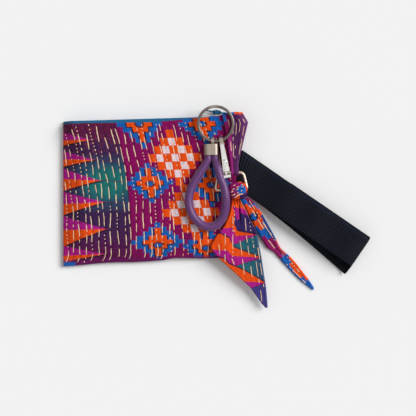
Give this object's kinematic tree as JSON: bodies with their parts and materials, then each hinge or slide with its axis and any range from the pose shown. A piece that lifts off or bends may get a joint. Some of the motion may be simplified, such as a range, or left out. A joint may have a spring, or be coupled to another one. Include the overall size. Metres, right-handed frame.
{
  "type": "quilted wristlet pouch",
  "caption": "Quilted zip pouch lying on its back, with a webbing wrist strap and a tab holding a D-ring, snap hook, split key ring, cord fob and tied scarf.",
  "frame": {"origin": "centre of the pouch's flat back face, on the surface it lies on", "axes": "+X along the zip towards its closed end, +Y from the foot of the pouch to the zip, +Z out of the front panel"},
  "size_m": [0.2645, 0.175, 0.0242],
  "materials": {
    "quilted_cotton": "quilted printed cotton with running stitches",
    "tab_cotton": "printed cotton strip",
    "lining_cotton": "plain woven lining",
    "zip_tape": "woven zip tape",
    "zip_teeth": "moulded teeth",
    "nickel": "nickel plated",
    "pale_nickel": "pale polished nickel",
    "polished_steel": "bright polished",
    "ring_steel": "dark nickel wire, lightly scratched",
    "satin_cap": "satin metal",
    "scarf_cotton": "printed cotton, folded",
    "braided_cord": "braided synthetic cord",
    "webbing": "ribbed webbing"
  },
  "bodies": {
    "pouch": {"back_panel": "quilted_cotton", "front_panel": "quilted_cotton", "back_lining": "lining_cotton", "front_lining": "lining_cotton", "zip_tape_back": "zip_tape", "zip_tape_front": "zip_tape", "zip_teeth_back": "zip_teeth", "zip_teeth_front": "zip_teeth", "zip_bottom_stop": "nickel", "zip_top_stop": "nickel", "zip_end_tab_left": "zip_tape", "zip_end_tab_right": "zip_tape", "zip_tape_end": "zip_tape", "zip_tape_tail": "zip_tape", "tab_root": "quilted_cotton", "strap_root": "webbing"},
    "slider": {"zip_slider": "nickel", "zip_slider_back": "nickel"},
    "pull": {"zip_pull": "nickel"},
    "tab": {"ring_tab": "tab_cotton"},
    "d_ring": {"d_ring": "pale_nickel", "scarf_knot": "scarf_cotton"},
    "wide_tail": {"scarf_wide_tail": "scarf_cotton"},
    "narrow_tail": {"scarf_narrow_tail": "scarf_cotton"},
    "clasp": {"clasp_body": "polished_steel", "clasp_gate_pin": "polished_steel", "clasp_spring": "polished_steel"},
    "gate": {"clasp_gate": "polished_steel"},
    "key_ring": {"key_ring": "ring_steel"},
    "fob": {"fob_cap": "satin_cap", "fob_cord": "braided_cord"},
    "strap": {"wrist_strap": "webbing"}
  },
  "joints": [
    {"name": "zip_slide", "type": "slide", "parent": "pouch", "child": "slider", "axis": [-1, 0, 0], "range_m": [0, 0.118]},
    {"name": "pull_swing", "type": "hinge", "parent": "slider", "child": "pull", "pos_m": [0.05925, 0.06275, 0.0057], "axis": [0, 0, -1], "range_deg": [0, 130]},
    {"name": "tab_lift", "type": "hinge", "parent": "pouch", "child": "tab", "pos_m": [0.0677, 0.0639, 0.01282], "axis": [-1, 0, 0], "range_deg": [0, 100]},
    {"name": "d_ring_lift", "type": "hinge", "parent": "tab", "child": "d_ring", "pos_m": [0.06486, 0.0127, 0.01595], "axis": [-1, 0, 0], "range_deg": [0, 36]},
    {"name": "wide_tail_lift", "type": "hinge", "parent": "d_ring", "child": "wide_tail", "pos_m": [0.0685, -0.011, 0.0146], "axis": [-1, 0, 0], "range_deg": [0, 18]},
    {"name": "narrow_tail_lift", "type": "hinge", "parent": "d_ring", "child": "narrow_tail", "pos_m": [0.0774, -0.01, 0.0147], "axis": [-0.769, -0.6392, 0], "range_deg": [0, 60]},
    {"name": "clasp_lift", "type": "hinge", "parent": "tab", "child": "clasp", "pos_m": [0.06132, 0.0127, 0.01595], "axis": [1, 0, 0], "range_deg": [0, 70]},
    {"name": "gate_open", "type": "hinge", "parent": "clasp", "child": "gate", "pos_m": [0.05961, 0.02235, 0.0209], "axis": [0.9848, 0.1736, 0], "range_deg": [0, 16], "stiffness_Nm_per_rad": 0.02, "springref_deg": -17.19},
    {"name": "ring_tilt", "type": "hinge", "parent": "clasp", "child": "key_ring", "pos_m": [0.05739, 0.04063, 0.0164], "axis": [1, 0, 0], "range_deg": [-70, 0]},
    {"name": "loop_lift", "type": "hinge", "parent": "key_ring", "child": "fob", "pos_m": [0.05019, 0.04027, 0.0164], "axis": [-1, 0, 0], "range_deg": [0, 90]},
    {"name": "strap_lift", "type": "hinge", "parent": "pouch", "child": "strap", "pos_m": [0.09625, -0.00135, 0.0042], "axis": [-0.5892, -0.808, 0], "range_deg": [0, 90]}
  ],
  "couplings": [
    {"joint": "d_ring_lift", "follows": "loop_lift", "ratio": 0.4},
    {"joint": "wide_tail_lift", "follows": "loop_lift", "ratio": 0.2},
    {"joint": "ring_tilt", "follows": "clasp_lift", "ratio": -1}
  ]
}
